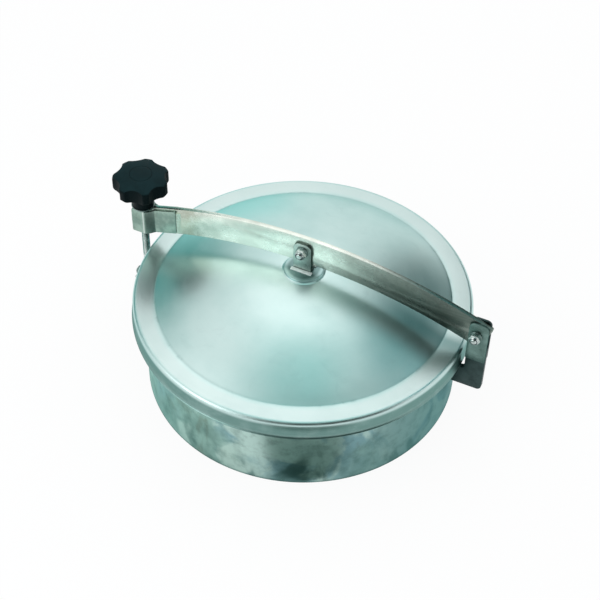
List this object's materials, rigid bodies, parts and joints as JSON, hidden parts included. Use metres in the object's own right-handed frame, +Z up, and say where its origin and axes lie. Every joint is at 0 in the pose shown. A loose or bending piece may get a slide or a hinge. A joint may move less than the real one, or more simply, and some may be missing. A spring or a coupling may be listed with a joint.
{
  "type": "tank manway cover",
  "caption": "Round outward-opening tank manway: domed sheet lid on a rolled neck, arched bar hinged on one side and held down on the other by a swing bolt with a star knob.",
  "frame": {"origin": "on the neck's axis, in the plane of its lower edge", "axes": "+Z up along the neck's axis; +X along the arm, from the knob to the hinge"},
  "size_m": [0.5124, 0.437, 0.2414],
  "materials": {
    "stainless_neck": "pickled rolled sheet, mottled",
    "stainless_lid": "satin pressed sheet",
    "stainless_bar": "brushed flat bar",
    "stainless_plate": "satin plate",
    "stainless_fastener": "bright",
    "silicone_seal": "matt",
    "knob_plastic": "satin moulded"
  },
  "bodies": {
    "neck": {"neck_ring": "stainless_neck", "hinge_bracket": "stainless_plate", "hinge_cheek_front": "stainless_plate", "hinge_cheek_rear": "stainless_plate", "hinge_bolt": "stainless_fastener", "hinge_nut": "stainless_fastener", "hinge_washers": "stainless_fastener", "lug_plate_front": "stainless_plate", "lug_plate_rear": "stainless_plate", "lug_bolt": "stainless_fastener", "lug_nut": "stainless_fastener", "lug_washers": "stainless_fastener"},
    "arm": {"arm_bar": "stainless_bar", "fork_cheek_front": "stainless_bar", "fork_cheek_rear": "stainless_bar"},
    "lid": {"lid_shell": "stainless_lid", "seal_strip": "stainless_lid", "lid_seal": "silicone_seal", "lid_pad": "stainless_lid", "lid_clevis": "stainless_plate", "clevis_bolt": "stainless_fastener", "clevis_nut": "stainless_fastener", "clevis_washers": "stainless_fastener"},
    "eye_bolt": {"eye_bolt": "stainless_fastener"},
    "knob_washer": {"knob_washer": "stainless_fastener"},
    "knob": {"knob_body": "knob_plastic", "knob_insert": "stainless_fastener", "knob_cap": "knob_plastic"}
  },
  "joints": [
    {"name": "arm_hinge", "type": "hinge", "parent": "neck", "child": "arm", "pos_m": [0.232, 0, 0.16319], "axis": [0, 1, 0], "range_deg": [0, 104.9]},
    {"name": "lid_tilt", "type": "hinge", "parent": "arm", "child": "lid", "pos_m": [0, 0, 0.206], "axis": [0, 1, 0], "range_deg": [-1, 1], "deforming": ["lid_seal"]},
    {"name": "bolt_swing", "type": "hinge", "parent": "neck", "child": "eye_bolt", "pos_m": [-0.2285, 0, 0.072], "axis": [0, -1, 0], "range_deg": [0, 100]},
    {"name": "knob_lift", "type": "slide", "parent": "eye_bolt", "child": "knob_washer", "axis": [0, 0, 1], "range_m": [0, 0.01201]},
    {"name": "knob_turn", "type": "hinge", "parent": "knob_washer", "child": "knob", "pos_m": [-0.2285, 0, 0.2], "axis": [0, 0, 1], "range_deg": [0, 2880]}
  ],
  "couplings": [
    {"joint": "knob_lift", "follows": "knob_turn", "m_per_rad": 0.00023873}
  ]
}
